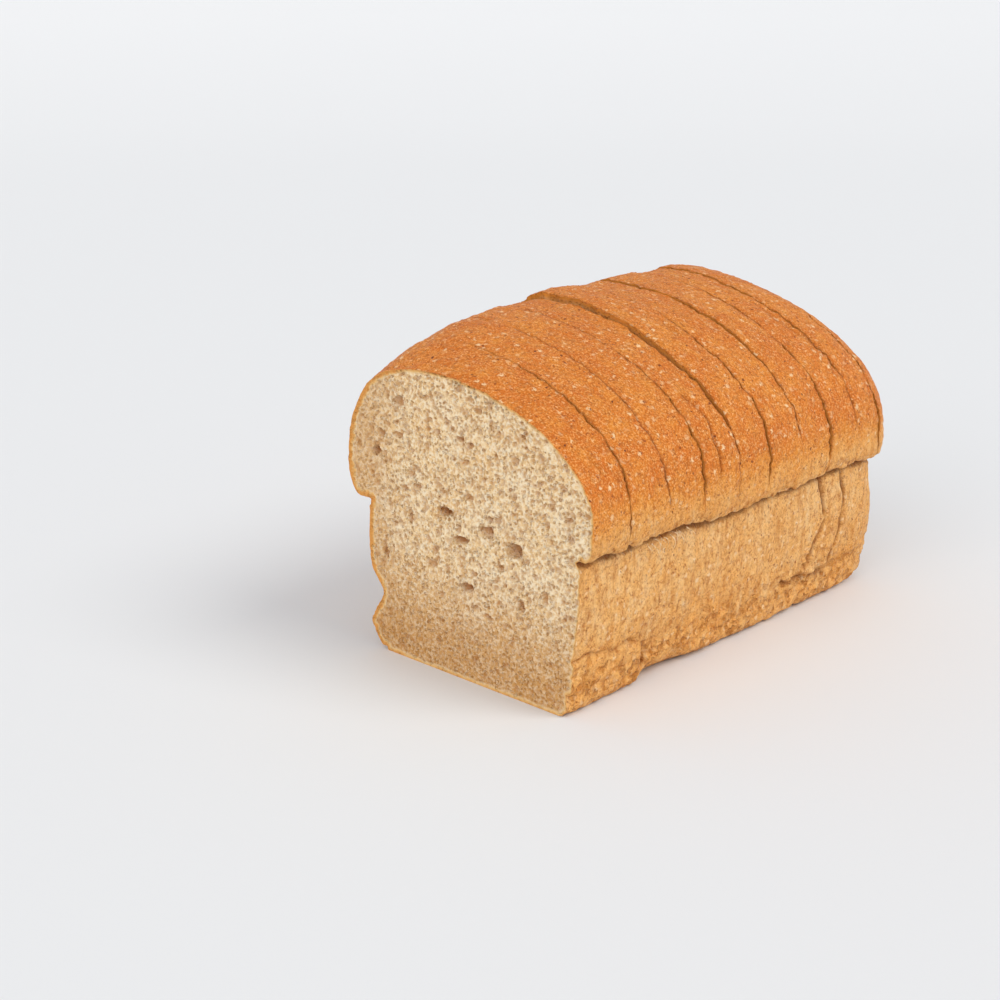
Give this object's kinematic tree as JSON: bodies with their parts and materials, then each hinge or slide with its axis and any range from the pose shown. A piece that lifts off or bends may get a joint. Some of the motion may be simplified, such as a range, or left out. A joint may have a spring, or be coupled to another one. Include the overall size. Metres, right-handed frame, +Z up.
{
  "type": "sliced bread loaf",
  "caption": "Small brown tin loaf, machine sliced, standing on its base with an open cut face and a domed crust.",
  "frame": {"origin": "middle of the loaf's box on the floor it stands on", "axes": "+Z up, +X across the loaf, +Y along the loaf from the open cut face to the heel"},
  "size_m": [0.1006, 0.1692, 0.1052],
  "materials": {
    "crust": null
  },
  "bodies": {
    "root": {"slice_01": "crust", "slice_02": "crust", "slice_03": "crust", "slice_04": "crust", "slice_05": "crust", "slice_06": "crust", "slice_07": "crust", "slice_08": "crust", "slice_09": "crust", "heel": "crust"}
  },
  "joints": []
}
